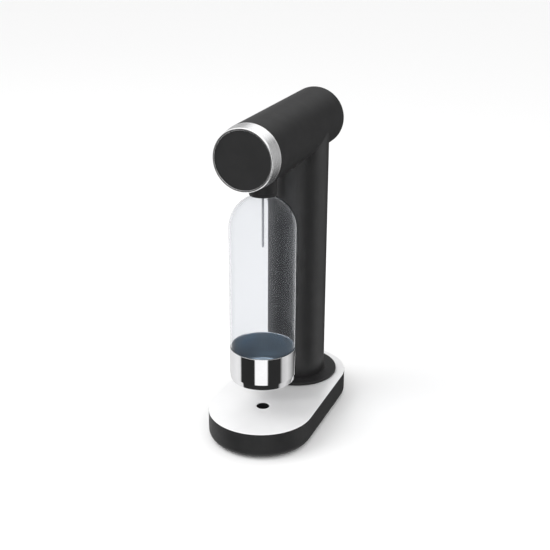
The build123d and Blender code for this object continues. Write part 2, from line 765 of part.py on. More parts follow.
with BuildPart() as seal_carrier:
    with BuildSketch(bottle_plane):
        band(seal_bore_r, socket_r - seal_gap, gasket_top_z, nozzle_block_low_z - seal_gap)
    revolve(axis=bottle_axis)
save(seal_carrier, "seal_carrier")

with BuildPart() as bottle_gasket:
    with BuildSketch(bottle_plane):
        band(seal_bore_r, socket_r - 2 * seal_gap, mouth_z + seal_gap, gasket_top_z)
    revolve(axis=bottle_axis)
save(bottle_gasket, "bottle_gasket")

# ---------------------------------------------------------------- bottle
liner_r = bottle_r - cup_wall
heel_r = liner_r - liner_wall
liner_low_z = cup_low_z + cup_wall
heel_z = liner_low_z + liner_wall
step_z = cup_top_z + cup_rim_gap


def dish(outer_r, low_z, top_z, thickness, rounding):
    """Half of a dish's section: one wall thickness, with a rounded lower corner."""
    for inset, mode in ((0, Mode.ADD), (thickness, Mode.SUBTRACT)):
        band(0, outer_r - inset, low_z + rounding, top_z, mode)
        band(0, outer_r - rounding, low_z + inset, low_z + rounding, mode)
        with Locations((outer_r - rounding, low_z + rounding)):
            Circle(rounding - inset, mode=mode)


with BuildPart() as bottle_cup:
    with BuildSketch(bottle_plane):
        with BuildLine():
            Polyline((0, cup_low_z), (bottle_r - cup_foot_in, cup_low_z), (bottle_r, cup_low_z + cup_foot_h),
                     (bottle_r, cup_top_z), (liner_r, cup_top_z), (liner_r, cup_low_z + cup_foot_h),
                     (liner_r - cup_foot_in, liner_low_z), (0, liner_low_z), close=True)
        make_face()
    revolve(axis=bottle_axis)
    fillet(bottle_cup.edges().group_by(Axis.Z)[0], cup_edge_round)
save(bottle_cup, "bottle_cup")

with BuildPart() as cup_liner:
    with BuildSketch(bottle_plane):
        dish(liner_r, liner_low_z, cup_top_z, liner_wall, liner_round)
    revolve(axis=bottle_axis)
save(cup_liner, "cup_liner")

with BuildPart() as bottle:
    with BuildSketch(bottle_plane):
        dish(heel_r, heel_z, step_z, bottle_wall, liner_round - liner_wall)
        band(heel_r - bottle_wall, bottle_r, step_z, dome_z)
        with Locations((0, dome_z)):
            Circle(bottle_r)
        band(0, neck_r, dome_z, mouth_z)
        neck_corners = vertices().filter_by_position(Axis.X, neck_r - 0.1, neck_r + 0.1)
        fillet(neck_corners.sort_by(Axis.Z)[0], shoulder_round)
        band(0, bottle_r - bottle_wall, step_z + bottle_wall, dome_z, Mode.SUBTRACT)
        band(0, heel_r - bottle_wall, cup_top_z - liner_round, dome_z, Mode.SUBTRACT)
        with Locations((0, dome_z)):
            Circle(bottle_r - bottle_wall, mode=Mode.SUBTRACT)
        band(0, neck_bore_r, dome_z, mouth_z, Mode.SUBTRACT)
        band(-bottle_r, 0, 0, mouth_z, Mode.SUBTRACT)
    revolve(axis=bottle_axis)
save(bottle, "bottle")
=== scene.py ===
"""Looks of a soda carbonator: detailed meshes, materials, floor, light and camera around the CAD frame.

Lengths are in metres, in the frame's own axes: +Z up, the front (knob and bottle) towards -Y.
"""
import json
from math import atan2, cos, degrees, pi, radians, sin, sqrt, tan

import bmesh
import bpy
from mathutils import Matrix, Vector


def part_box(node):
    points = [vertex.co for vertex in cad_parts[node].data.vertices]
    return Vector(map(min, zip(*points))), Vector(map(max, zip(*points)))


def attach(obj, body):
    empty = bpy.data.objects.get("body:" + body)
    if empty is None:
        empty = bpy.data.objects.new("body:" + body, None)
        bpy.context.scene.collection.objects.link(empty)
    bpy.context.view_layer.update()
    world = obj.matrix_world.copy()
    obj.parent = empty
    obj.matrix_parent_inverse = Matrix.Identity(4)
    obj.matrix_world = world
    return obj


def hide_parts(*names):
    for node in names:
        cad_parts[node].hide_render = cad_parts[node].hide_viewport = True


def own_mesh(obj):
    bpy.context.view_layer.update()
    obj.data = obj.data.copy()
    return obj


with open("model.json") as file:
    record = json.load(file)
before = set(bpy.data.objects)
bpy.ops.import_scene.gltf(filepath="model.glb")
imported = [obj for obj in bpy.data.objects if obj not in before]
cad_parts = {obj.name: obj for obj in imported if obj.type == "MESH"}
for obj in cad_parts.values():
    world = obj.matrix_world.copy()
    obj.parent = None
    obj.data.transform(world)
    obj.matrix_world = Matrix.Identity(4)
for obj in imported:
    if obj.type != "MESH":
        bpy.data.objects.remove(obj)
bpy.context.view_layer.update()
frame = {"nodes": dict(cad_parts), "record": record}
nodes = frame["nodes"]
MM = 0.001

# ---------------------------------------------------------------- places, from the frame
plate_low, plate_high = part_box("top_plate")
seat_low, seat_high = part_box("column_seat")
cup_low, cup_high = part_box("bottle_cup")
liner_low, liner_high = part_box("cup_liner")
bottle_low, bottle_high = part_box("bottle")
head_low, head_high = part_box("head_shell")
ring_low, ring_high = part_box("knob_ring")
face_low, face_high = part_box("knob_face")
socket_low, socket_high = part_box("bottle_socket")
feet_low, feet_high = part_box("rubber_feet")

bottle_y = (cup_low.y + cup_high.y) / 2
column_y = (seat_low.y + seat_high.y) / 2
head_z = (head_low.z + head_high.z) / 2
tray_z = plate_high.z

# ---------------------------------------------------------------- mesh helpers
SEGMENTS = 192
ARC_STEPS = 6
HOLD = 0.25 * MM           # a point this far from each rounding keeps the face beside it flat


def rounded(corners, closed=True):
    """Profile points from (x, y, rounding) corners: a rounded corner turns into an arc with held ends."""
    points = []
    count = len(corners)
    for i, (x, y, rounding) in enumerate(corners):
        is_end = not closed and i in (0, count - 1)
        if rounding <= 0 or is_end:
            points.append((x, y))
            continue
        here = Vector((x, y))
        before = Vector(corners[i - 1][:2]) - here
        after = Vector(corners[(i + 1) % count][:2]) - here
        half = before.angle(after) / 2
        reach = rounding / tan(half)
        start = here + before.normalized() * reach
        end = here + after.normalized() * reach
        middle = here + (before.normalized() + after.normalized()).normalized() * (rounding / sin(half))
        if before.length > reach + 3 * HOLD:
            points.append(tuple(start + before.normalized() * HOLD))
        sweep = (start - middle).angle_signed(end - middle)
        for step in range(ARC_STEPS + 1):
            turn = -sweep * step / ARC_STEPS
            arm = start - middle
            points.append((middle.x + arm.x * cos(turn) - arm.y * sin(turn),
                           middle.y + arm.x * sin(turn) + arm.y * cos(turn)))
        if after.length > reach + 3 * HOLD:
            points.append(tuple(end + after.normalized() * HOLD))
    return points


def arc(centre, radius, start_deg, end_deg, steps=24):
    """Profile points on a circle, as corners with no rounding."""
    angles = [radians(start_deg + (end_deg - start_deg) * i / steps) for i in range(steps + 1)]
    return [(centre[0] + radius * cos(a), centre[1] + radius * sin(a), 0) for a in angles]


def finish_mesh(name, bm, body, material, replaced):
    """Turns a bmesh into a smooth object that rides on a body and stands for CAD nodes."""
    bmesh.ops.remove_doubles(bm, verts=bm.verts, dist=0.5e-6)
    bmesh.ops.recalc_face_normals(bm, faces=bm.faces)
    mesh = bpy.data.meshes.new(name)
    bm.to_mesh(mesh)
    bm.free()
    for polygon in mesh.polygons:
        polygon.use_smooth = True
    mesh.materials.append(material)
    piece = bpy.data.objects.new(name, mesh)
    bpy.context.scene.collection.objects.link(piece)
    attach(piece, body)
    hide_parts(*replaced)
    return piece


def add_rings(bm, rings, closed):
    """Joins rings of points with quads; a ring of one point becomes a fan."""
    rows = [[bm.verts.new(point) for point in ring] for ring in rings]
    pairs = list(zip(rows, rows[1:]))
    if closed:
        pairs.append((rows[-1], rows[0]))
    for low, high in pairs:
        count = max(len(low), len(high))
        if count == 1:
            continue
        for i in range(count):
            j = (i + 1) % count
            corners = [low[i % len(low)], low[j % len(low)], high[j % len(high)], high[i % len(high)]]
            face = list(dict.fromkeys(corners))
            if len(face) > 2:
                bm.faces.new(face)


def turned_rings(profile, place, along="z", segments=SEGMENTS):
    """Rings of a turned shape from (radius, distance along the axis) points around an axis at place."""
    rings = []
    for radius, distance in profile:
        if radius < 1e-7:
            angles = [0]
        else:
            angles = [2 * pi * i / segments for i in range(segments)]
        circle = [(place[0] + radius * cos(a), place[1] + radius * sin(a)) for a in angles]
        if along == "z":
            rings.append([(first, second, distance) for first, second in circle])
        else:
            rings.append([(first, distance, second) for first, second in circle])
    return rings


def stadium_ring(radius, half_length, height, steps=64, straights=16):
    """One level ring around a stadium whose half rounds are centred at -half_length and +half_length."""
    ring = []
    for centre_y, start in ((half_length, 0), (-half_length, pi)):
        for i in range(steps + 1):
            a = start + pi * i / steps
            ring.append((radius * cos(a), centre_y + radius * sin(a), height))
        side = -radius if start == 0 else radius
        for i in range(1, straights):
            along = half_length - 2 * half_length * i / straights
            ring.append((side, along if start == 0 else -along, height))
    return ring


# ---------------------------------------------------------------- materials
def new_material(name, colour, roughness, metallic=0.0, **sockets):
    """A Principled material; sockets are the shader's other inputs, with _ for a space."""
    material = bpy.data.materials.new(name)
    material.use_nodes = True
    shader = material.node_tree.nodes["Principled BSDF"]
    shader.inputs["Base Color"].default_value = (*colour, 1)
    shader.inputs["Roughness"].default_value = roughness
    shader.inputs["Metallic"].default_value = metallic
    for socket, value in sockets.items():
        shader.inputs[socket.replace("_", " ")].default_value = value
    return material


def add_node(material, kind, **settings):
    """A new node with its properties set."""
    node = material.node_tree.nodes.new(kind)
    for key, value in settings.items():
        setattr(node, key, value)
    return node


def link(material, output, target):
    material.node_tree.links.new(output, target)


def object_vector(material, stretch=(1, 1, 1)):
    """Places on the piece in metres, stretched."""
    places = add_node(material, "ShaderNodeTexCoord")
    mapping = add_node(material, "ShaderNodeMapping")
    mapping.inputs["Scale"].default_value = stretch
    link(material, places.outputs["Object"], mapping.inputs["Vector"])
    return mapping.outputs["Vector"]


def turned_vector(material, centre, along="y"):
    """(radius, distance along the axis, 0): the same all the way round a turned piece."""
    places = add_node(material, "ShaderNodeTexCoord")
    shifted = add_node(material, "ShaderNodeVectorMath", operation="SUBTRACT")
    shifted.inputs[1].default_value = centre
    flat = add_node(material, "ShaderNodeVectorMath", operation="MULTIPLY")
    flat.inputs[1].default_value = (1, 0, 1) if along == "y" else (1, 1, 0)
    length = add_node(material, "ShaderNodeVectorMath", operation="LENGTH")
    split = add_node(material, "ShaderNodeSeparateXYZ")
    joined = add_node(material, "ShaderNodeCombineXYZ")
    link(material, places.outputs["Object"], shifted.inputs[0])
    link(material, shifted.outputs["Vector"], flat.inputs[0])
    link(material, flat.outputs["Vector"], length.inputs[0])
    link(material, shifted.outputs["Vector"], split.inputs["Vector"])
    link(material, length.outputs["Value"], joined.inputs["X"])
    link(material, split.outputs[along.upper()], joined.inputs["Y"])
    return joined.outputs["Vector"]


def noise(material, vector, scale, detail=3.0):
    """Soft noise between about 0.3 and 0.7."""
    texture = add_node(material, "ShaderNodeTexNoise")
    texture.inputs["Scale"].default_value = scale
    texture.inputs["Detail"].default_value = detail
    link(material, vector, texture.inputs["Vector"])
    return texture.outputs["Fac"]


def remap(material, value, low, high):
    """Noise mapped to a range."""
    mapped = add_node(material, "ShaderNodeMapRange")
    mapped.inputs["From Min"].default_value = 0.3
    mapped.inputs["From Max"].default_value = 0.7
    mapped.inputs["To Min"].default_value = low
    mapped.inputs["To Max"].default_value = high
    link(material, value, mapped.inputs["Value"])
    return mapped.outputs["Result"]


def set_bump(material, height, strength, distance):
    """Bump on the Principled shader from a height."""
    bump = add_node(material, "ShaderNodeBump")
    bump.inputs["Strength"].default_value = strength
    bump.inputs["Distance"].default_value = distance
    link(material, height, bump.inputs["Height"])
    link(material, bump.outputs["Normal"], material.node_tree.nodes["Principled BSDF"].inputs["Normal"])


def set_colours(material, value, first, second):
    """Base colour that drifts between two near colours."""
    ramp = add_node(material, "ShaderNodeValToRGB")
    ramp.color_ramp.elements[0].position = 0.35
    ramp.color_ramp.elements[0].color = (*first, 1)
    ramp.color_ramp.elements[1].position = 0.65
    ramp.color_ramp.elements[1].color = (*second, 1)
    link(material, value, ramp.inputs["Fac"])
    link(material, ramp.outputs["Color"], material.node_tree.nodes["Principled BSDF"].inputs["Base Color"])


def set_roughness(material, value, low, high):
    """Roughness that drifts between two values."""
    result = remap(material, value, low, high)
    link(material, result, material.node_tree.nodes["Principled BSDF"].inputs["Roughness"])


def satin_paint(name, gloss):
    """Fine-textured satin black coating."""
    material = new_material(name, (0.014, 0.014, 0.0145), 0.42, Specular_IOR_Level=gloss)
    places = object_vector(material)
    set_colours(material, noise(material, places, 60), (0.0125, 0.0125, 0.013), (0.0155, 0.0155, 0.016))
    set_roughness(material, noise(material, places, 35), 0.40, 0.46)
    set_bump(material, noise(material, places, 2600, 2), 0.12, 0.05 * MM)
    return material


def moulded_plastic(name, first, second, roughness, gloss):
    """Moulded plastic with a spark-eroded grain."""
    material = new_material(name, first, roughness, Specular_IOR_Level=gloss)
    places = object_vector(material)
    set_colours(material, noise(material, places, 45), first, second)
    set_roughness(material, noise(material, places, 300), roughness - 0.04, roughness + 0.04)
    set_bump(material, noise(material, places, 1700, 4), 0.2, 0.06 * MM)
    return material


def rubber():
    """Dull rubber."""
    material = new_material("rubber", (0.02, 0.02, 0.02), 0.85)
    places = object_vector(material)
    set_colours(material, noise(material, places, 220), (0.016, 0.016, 0.016), (0.026, 0.026, 0.026))
    set_bump(material, noise(material, places, 900, 5), 0.3, 0.08 * MM)
    return material


def brushed_plate():
    """Stainless sheet brushed along its length."""
    material = new_material("brushed_plate", (0.9, 0.9, 0.905), 0.5, 0.3, Anisotropic=0.3)
    lines = noise(material, object_vector(material, (2600, 30, 2600)), 1.0, 4)
    drift = noise(material, object_vector(material), 18)
    set_colours(material, drift, (0.885, 0.885, 0.89), (0.915, 0.915, 0.92))
    set_roughness(material, lines, 0.46, 0.54)
    set_bump(material, lines, 0.08, 0.02 * MM)
    return material


def turned_metal(name, centre, along, colour, roughness, depth):
    """Metal with fine turning lines around an axis."""
    material = new_material(name, colour, roughness, 1.0)
    lines = noise(material, turned_vector(material, centre, along), 4200, 3)
    drift = noise(material, object_vector(material), 25)
    darker = tuple(0.95 * part for part in colour)
    set_colours(material, drift, darker, colour)
    set_roughness(material, lines, roughness - 0.04, roughness + 0.05)
    set_bump(material, lines, depth, 0.015 * MM)
    return material


def polished_steel():
    """Mirror-polished cup with faint spun lines and hairline scratches."""
    centre = (0, bottle_y, 0)
    material = new_material("polished_steel", (0.80, 0.80, 0.81), 0.06, 1.0)
    lines = noise(material, turned_vector(material, centre, "z"), 1600, 2)
    smears = noise(material, object_vector(material), 60)
    set_colours(material, smears, (0.79, 0.79, 0.80), (0.83, 0.83, 0.84))
    set_roughness(material, smears, 0.035, 0.075)
    set_bump(material, lines, 0.03, 0.01 * MM)
    return material


def plated_steel():
    """Zinc-plated sheet and turned steel parts."""
    material = new_material("plated_steel", (0.5, 0.51, 0.52), 0.35, 1.0)
    places = object_vector(material)
    set_colours(material, noise(material, places, 120), (0.44, 0.45, 0.46), (0.58, 0.58, 0.57))
    set_roughness(material, noise(material, places, 500), 0.28, 0.42)
    set_bump(material, noise(material, places, 1400), 0.08, 0.02 * MM)
    return material


def brass():
    """Machined brass."""
    material = new_material("brass", (0.78, 0.58, 0.27), 0.28, 1.0)
    places = object_vector(material)
    set_colours(material, noise(material, places, 160), (0.70, 0.51, 0.23), (0.82, 0.62, 0.30))
    set_roughness(material, noise(material, places, 600), 0.22, 0.36)
    set_bump(material, noise(material, object_vector(material, (1, 1, 12)), 420), 0.1, 0.02 * MM)
    return material


def aluminium():
    """Lacquered aluminium gas cylinder with drawing lines along its length."""
    material = new_material("lacquered_aluminium", (0.66, 0.67, 0.69), 0.3, 1.0, Coat_Weight=0.5)
    lines = noise(material, object_vector(material, (900, 900, 12)), 1.0)
    drift = noise(material, object_vector(material), 50)
    set_colours(material, drift, (0.62, 0.63, 0.65), (0.70, 0.71, 0.72))
    set_roughness(material, lines, 0.25, 0.38)
    set_bump(material, lines, 0.06, 0.02 * MM)
    return material


def smooth_plastic(name, first, second, roughness, metallic):
    """Smooth engineering plastic, or a pearl lacquer where it is part metallic."""
    material = new_material(name, first, roughness, metallic)
    places = object_vector(material)
    set_colours(material, noise(material, places, 90), first, second)
    set_roughness(material, noise(material, places, 240), roughness - 0.04, roughness + 0.05)
    set_bump(material, noise(material, places, 700), 0.05, 0.02 * MM)
    return material


def clear_plastic():
    """Clear bottle wall that lets lamps through."""
    material = new_material("clear_plastic", (0.885, 0.892, 0.905), 0.015, Transmission_Weight=1.0, IOR=1.11)
    shader = material.node_tree.nodes["Principled BSDF"]
    set_roughness(material, noise(material, object_vector(material), 30), 0.01, 0.03)
    clear = add_node(material, "ShaderNodeBsdfTransparent")
    clear.inputs["Color"].default_value = (0.975, 0.98, 0.987, 1)
    haze = add_node(material, "ShaderNodeBsdfDiffuse")
    haze.inputs["Color"].default_value = (0.80, 0.84, 0.90, 1)
    path = add_node(material, "ShaderNodeLightPath")
    hazy = add_node(material, "ShaderNodeMixShader")
    hazy.inputs["Fac"].default_value = 0.005
    depth = add_node(material, "ShaderNodeVolumeAbsorption")
    depth.inputs["Color"].default_value = (0.58, 0.60, 0.64, 1)
    depth.inputs["Density"].default_value = 28.0
    mixed = add_node(material, "ShaderNodeMixShader")
    output = material.node_tree.nodes["Material Output"]
    link(material, shader.outputs["BSDF"], hazy.inputs[1])
    link(material, haze.outputs["BSDF"], hazy.inputs[2])
    link(material, path.outputs["Is Shadow Ray"], mixed.inputs["Fac"])
    link(material, hazy.outputs["Shader"], mixed.inputs[1])
    link(material, clear.outputs["BSDF"], mixed.inputs[2])
    link(material, mixed.outputs["Shader"], output.inputs["Surface"])
    link(material, depth.outputs["Volume"], output.inputs["Volume"])
    return material


knob_axis = (0, 0, head_z)
materials = {
    "black_plastic": moulded_plastic("black_plastic", (0.014, 0.014, 0.0145), (0.018, 0.018, 0.0185), 0.5,
                                     0.22),
    "rubber": rubber(),
    "steel_frame": plated_steel(),
    "brushed_plate": brushed_plate(),
    "satin_black": satin_paint("satin_black_paint", 0.25),
    "chrome": polished_steel(),
    "cup_liner": smooth_plastic("cup_liner", (0.36, 0.45, 0.53), (0.38, 0.47, 0.55), 0.22, 0.85),
    "clear": clear_plastic(),
    "aluminium": aluminium(),
    "brass": brass(),
    "cam_plastic": smooth_plastic("cam_plastic", (0.78, 0.77, 0.73), (0.82, 0.81, 0.77), 0.4, 0.0),
    "tube_plastic": smooth_plastic("tube_plastic", (0.24, 0.245, 0.26), (0.27, 0.275, 0.29), 0.3, 0.0),
}
materials["screw_steel"] = materials["steel_frame"]
ring_metal = turned_metal("turned_ring", knob_axis, "y", (0.90, 0.90, 0.905), 0.24, 0.25)
face_black = moulded_plastic("knob_face_black", (0.014, 0.014, 0.0145), (0.0165, 0.0165, 0.017), 0.55, 0.3)
column_paint = satin_paint("column_paint", 0.5)

for part in frame["record"]["subparts"]:
    node = nodes[part["node"]]
    node.data.materials.clear()
    node.data.materials.append(materials[part["material_slot"]])
nodes["column_tube"].data.materials[0] = column_paint


# ---------------------------------------------------------------- knob
def make_knob_ring():
    """Turned ring: a cone with a rolled front edge and a thin groove near the back."""
    front_r = 38.6 * MM
    back_r = ring_high.x
    bore_r = face_high.x + 0.05 * MM
    front_y = ring_low.y
    back_y = ring_high.y
    groove_y = back_y - 1.6 * MM
    groove_w = 0.5 * MM
    groove_d = 0.35 * MM
    slope = (back_r - front_r) / (back_y - front_y)

    def outer(y):
        return front_r + slope * (y - front_y)

    corners = [
        (bore_r, front_y, 0.45 * MM),
        (front_r, front_y, 1.6 * MM),
        (outer(groove_y), groove_y, 0.1 * MM),
        (outer(groove_y) - groove_d, groove_y + 0.1 * MM, 0),
        (outer(groove_y) - groove_d, groove_y + groove_w - 0.1 * MM, 0),
        (outer(groove_y), groove_y + groove_w, 0.1 * MM),
        (back_r, back_y, 0.3 * MM),
        (bore_r, back_y, 0.2 * MM),
    ]
    bm = bmesh.new()
    add_rings(bm, turned_rings(rounded(corners), (0, head_z), "y"), closed=True)
    return finish_mesh("turned_knob_ring", bm, "knob", ring_metal, ["knob_ring"])


def make_knob_face():
    """Slightly crowned black face with a soft edge."""
    radius = face_high.x
    front_y = face_low.y
    back_y = face_high.y
    crown = 0.18 * MM
    corners = [(0, front_y, 0)]
    corners += [(radius * i / 12, front_y + crown * (i / 12) ** 2, 0) for i in range(1, 12)]
    corners += [(radius, front_y + crown, 0.35 * MM), (radius, back_y, 0.1 * MM), (0, back_y, 0)]
    bm = bmesh.new()
    add_rings(bm, turned_rings(rounded(corners, closed=False), (0, head_z), "y"), closed=False)
    return finish_mesh("crowned_knob_face", bm, "knob", face_black, ["knob_face"])


# ---------------------------------------------------------------- base
def ring_of(centre_y, radius, height, segments):
    return [(radius * cos(2 * pi * i / segments), centre_y + radius * sin(2 * pi * i / segments), height)
            for i in range(segments)]


def loop_edges(bm, points):
    """A closed loop of edges through points."""
    verts = [bm.verts.new(point) for point in points]
    return [bm.edges.new((verts[i], verts[(i + 1) % len(verts)])) for i in range(len(verts))]


def make_tray():
    """Pressed steel plate: rolled outer edge, a dished drain hole and a plain hole under the column."""
    half_length = plate_high.y - plate_high.x
    radius = plate_high.x
    low_z = plate_low.z
    edge = 0.55 * MM
    drain_r = 8.6 * MM
    dish = 0.9 * MM
    column_hole_r = 39.2 * MM
    flat_r = radius - edge - HOLD
    bm = bmesh.new()
    outer = rounded([
        (flat_r, tray_z, 0),
        (radius, tray_z, edge),
        (radius, low_z, 0.15 * MM),
        (flat_r, low_z, 0),
    ], closed=False)
    add_rings(bm, [stadium_ring(r, half_length, z) for r, z in outer], closed=False)
    drain = rounded([
        (drain_r + dish, tray_z, 0),
        (drain_r, tray_z, dish * 0.8),
        (drain_r, low_z, 0),
        (drain_r + dish, low_z, 0),
    ], closed=False)
    add_rings(bm, turned_rings(drain, (0, bottle_y), segments=96), closed=False)
    column_hole = [(column_hole_r, tray_z), (column_hole_r, low_z)]
    add_rings(bm, turned_rings(column_hole, (0, column_y)), closed=False)
    for height in (tray_z, low_z):
        edges = loop_edges(bm, stadium_ring(flat_r, half_length, height))
        edges += loop_edges(bm, ring_of(bottle_y, drain_r + dish, height, 96))
        edges += loop_edges(bm, ring_of(column_y, column_hole_r, height, SEGMENTS))
        bmesh.ops.triangle_fill(bm, use_beauty=True, use_dissolve=False, edges=edges)
    plate_metal = materials["brushed_plate"]
    return finish_mesh("pressed_tray", bm, "base", plate_metal, ["top_plate"])


def make_feet():
    """Four rubber feet with two grip grooves underneath."""
    foot_r = 6.5 * MM
    groove_depth = 0.5 * MM
    top_z = feet_high.z
    bm = bmesh.new()
    for x in (feet_low.x + foot_r, feet_high.x - foot_r):
        for y in (feet_low.y + foot_r, feet_high.y - foot_r):
            corners = [(0, 0, 0)]
            for groove_r in (1.8 * MM, 3.8 * MM):
                corners += [(groove_r, 0, 0.1 * MM), (groove_r + 0.25 * MM, groove_depth, 0.1 * MM),
                            (groove_r + 0.75 * MM, groove_depth, 0.1 * MM), (groove_r + 1 * MM, 0, 0.1 * MM)]
            corners += [(foot_r - 0.5 * MM, 0, 0.45 * MM), (foot_r, 0.6 * MM, 0.3 * MM),
                        (foot_r, top_z, 0.2 * MM), (0, top_z, 0)]
            add_rings(bm, turned_rings(rounded(corners, closed=False), (x, y), segments=64), closed=False)
    return finish_mesh("grooved_feet", bm, "base", materials["rubber"], ["rubber_feet"])


# ---------------------------------------------------------------- bottle
def make_cup():
    """Polished steel cup whose foot is drawn in a little."""
    radius = cup_high.x
    wall = 1.1 * MM
    foot_in = 1.3 * MM
    foot_h = 8 * MM
    rim_z = cup_high.z
    low_z = cup_low.z
    corners = [
        (0, low_z + 1.6 * MM, 0),
        (radius - 12 * MM, low_z + 1.6 * MM, 2 * MM),
        (radius - 9 * MM, low_z, 1.5 * MM),
        (radius - foot_in, low_z, 1.0 * MM),
        (radius, low_z + foot_h, 3 * MM),
        (radius, rim_z, 0.35 * MM),
        (radius - wall, rim_z, 0.3 * MM),
        (radius - wall, low_z + foot_h, 3 * MM),
        (radius - wall - foot_in, low_z + 2.2 * MM, 0.5 * MM),
        (0, low_z + 2.2 * MM, 0),
    ]
    bm = bmesh.new()
    add_rings(bm, turned_rings(rounded(corners, closed=False), (0, bottle_y)), closed=False)
    return finish_mesh("polished_cup", bm, "bottle", materials["chrome"], ["bottle_cup"])


def make_liner():
    """Blue-grey liner between the cup and the bottle."""
    radius = liner_high.x
    wall = 0.9 * MM
    low_z = liner_low.z + 1.2 * MM
    top_z = liner_high.z - 0.3 * MM
    corners = [
        (0, low_z, 0),
        (radius, low_z, 7.5 * MM),
        (radius, top_z, 0.25 * MM),
        (radius - wall, top_z, 0.25 * MM),
        (radius - wall, low_z + wall, 6.6 * MM),
        (0, low_z + wall, 0),
    ]
    bm = bmesh.new()
    add_rings(bm, turned_rings(rounded(corners, closed=False), (0, bottle_y)), closed=False)
    return finish_mesh("liner", bm, "bottle", materials["cup_liner"], ["cup_liner"])


def make_bottle():
    """Clear bottle: a domed floor, a step at the cup's rim, a round shoulder and a grooved neck."""
    radius = bottle_high.x
    wall = 1.6 * MM
    heel_r = 41.0 * MM
    low_z = bottle_low.z + 1.2 * MM
    step_z = cup_high.z + 0.2 * MM
    dome_z = 290 * MM
    neck_r = 14.2 * MM
    bore_r = 12.2 * MM
    mouth_z = bottle_high.z
    neck_z = dome_z + sqrt(radius ** 2 - neck_r ** 2)
    inner_neck_z = dome_z + sqrt((radius - wall) ** 2 - bore_r ** 2)
    shoulder_deg = degrees(atan2(neck_z - dome_z, neck_r))
    inner_deg = degrees(atan2(inner_neck_z - dome_z, bore_r))
    push_up = 7 * MM
    corners = [
        (0, low_z + push_up, 0),
        (10 * MM, low_z + push_up * 0.92, 0),
        (20 * MM, low_z + push_up * 0.62, 0),
        (30 * MM, low_z, 3 * MM),
        (heel_r, low_z, 6.5 * MM),
        (heel_r, step_z, 0.5 * MM),
        (radius, step_z, 0.6 * MM),
    ]
    corners += arc((0, dome_z), radius, 0, shoulder_deg - 2)
    corners += [
        (neck_r, neck_z + 0.6 * MM, 1.2 * MM),
        (neck_r, mouth_z - 14 * MM, 0.2 * MM),
        (neck_r - 0.5 * MM, mouth_z - 13.4 * MM, 0.2 * MM),
        (neck_r - 0.5 * MM, mouth_z - 11 * MM, 0.2 * MM),
        (neck_r, mouth_z - 10.4 * MM, 0.2 * MM),
        (neck_r, mouth_z, 0.6 * MM),
        (bore_r, mouth_z, 0.6 * MM),
    ]
    corners += list(reversed(arc((0, dome_z), radius - wall, 0, inner_deg)))
    corners += [
        (radius - wall, step_z + wall, 0.8 * MM),
        (heel_r - wall, step_z + wall, 0.8 * MM),
        (heel_r - wall, low_z + wall, 5 * MM),
        (31 * MM, low_z + wall, 3 * MM),
        (20 * MM, low_z + push_up * 0.62 + wall, 0),
        (10 * MM, low_z + push_up * 0.92 + wall, 0),
        (0, low_z + push_up + wall, 0),
    ]
    bm = bmesh.new()
    add_rings(bm, turned_rings(rounded(corners, closed=False), (0, bottle_y), segments=320), closed=False)
    return finish_mesh("clear_bottle", bm, "bottle", materials["clear"], ["bottle"])


def make_collar():
    """Black collar that holds the bottle's neck, with a soft lip and a shallow ring groove."""
    outer_r = 17.3 * MM
    bore_r = 14.6 * MM
    flange_r = socket_high.x
    low_z = socket_low.z
    flange_z = 361.5 * MM
    top_z = socket_high.z
    corners = [
        (bore_r, low_z, 0.7 * MM),
        (outer_r, low_z, 1.1 * MM),
        (outer_r, low_z + 4 * MM, 0.15 * MM),
        (outer_r - 0.4 * MM, low_z + 4.3 * MM, 0.1 * MM),
        (outer_r - 0.4 * MM, low_z + 4.9 * MM, 0.1 * MM),
        (outer_r, low_z + 5.2 * MM, 0.15 * MM),
        (outer_r, flange_z, 0.3 * MM),
        (flange_r, flange_z, 0.3 * MM),
        (flange_r, top_z, 0.3 * MM),
        (bore_r, top_z, 0.3 * MM),
    ]
    bm = bmesh.new()
    add_rings(bm, turned_rings(rounded(corners), (0, bottle_y)), closed=True)
    return finish_mesh("collar", bm, "base", materials["black_plastic"], ["bottle_socket"])


# ---------------------------------------------------------------- springs
def make_spring(node, body, axis, turns, wire_r):
    """A round-ended coil spring."""
    low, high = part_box(node)
    middle = (low + high) / 2
    along = Vector(axis)
    across = Vector((0, 1, 0))
    upright = along.cross(across)
    length = (high - low).dot(along)
    coil_r = (high - low).y / 2 - wire_r
    rise = length - 2 * wire_r
    per_turn = 48
    count = turns * per_turn
    sides = 16
    cap_steps = 5

    def section(i, section_r, step_on):
        """A ring of points around the wire at step i, moved along the wire by step_on."""
        turn = 2 * pi * i / per_turn
        outward = across * cos(turn) + upright * sin(turn)
        forward = (upright * cos(turn) - across * sin(turn)) * coil_r + along * rise / (2 * pi * turns)
        forward.normalize()
        sideways = forward.cross(outward)
        centre = middle + along * (rise * (i / count - 0.5)) + outward * coil_r + forward * step_on
        angles = [2 * pi * k / sides for k in range(sides)]
        return [tuple(centre + (outward * cos(a) + sideways * sin(a)) * section_r) for a in angles]

    bends = [pi / 2 * (step + 0.5) / cap_steps for step in range(cap_steps)]
    rings = [section(0, wire_r * sin(bend), -wire_r * cos(bend)) for bend in bends]
    rings += [section(i, wire_r, 0) for i in range(count + 1)]
    rings += [section(count, wire_r * sin(bend), wire_r * cos(bend)) for bend in reversed(bends)]
    bm = bmesh.new()
    add_rings(bm, rings, closed=False)
    bmesh.ops.holes_fill(bm, edges=[edge for edge in bm.edges if edge.is_boundary], sides=sides)
    spring = finish_mesh("coiled_" + node, bm, body, materials["screw_steel"], [node])
    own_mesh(spring)


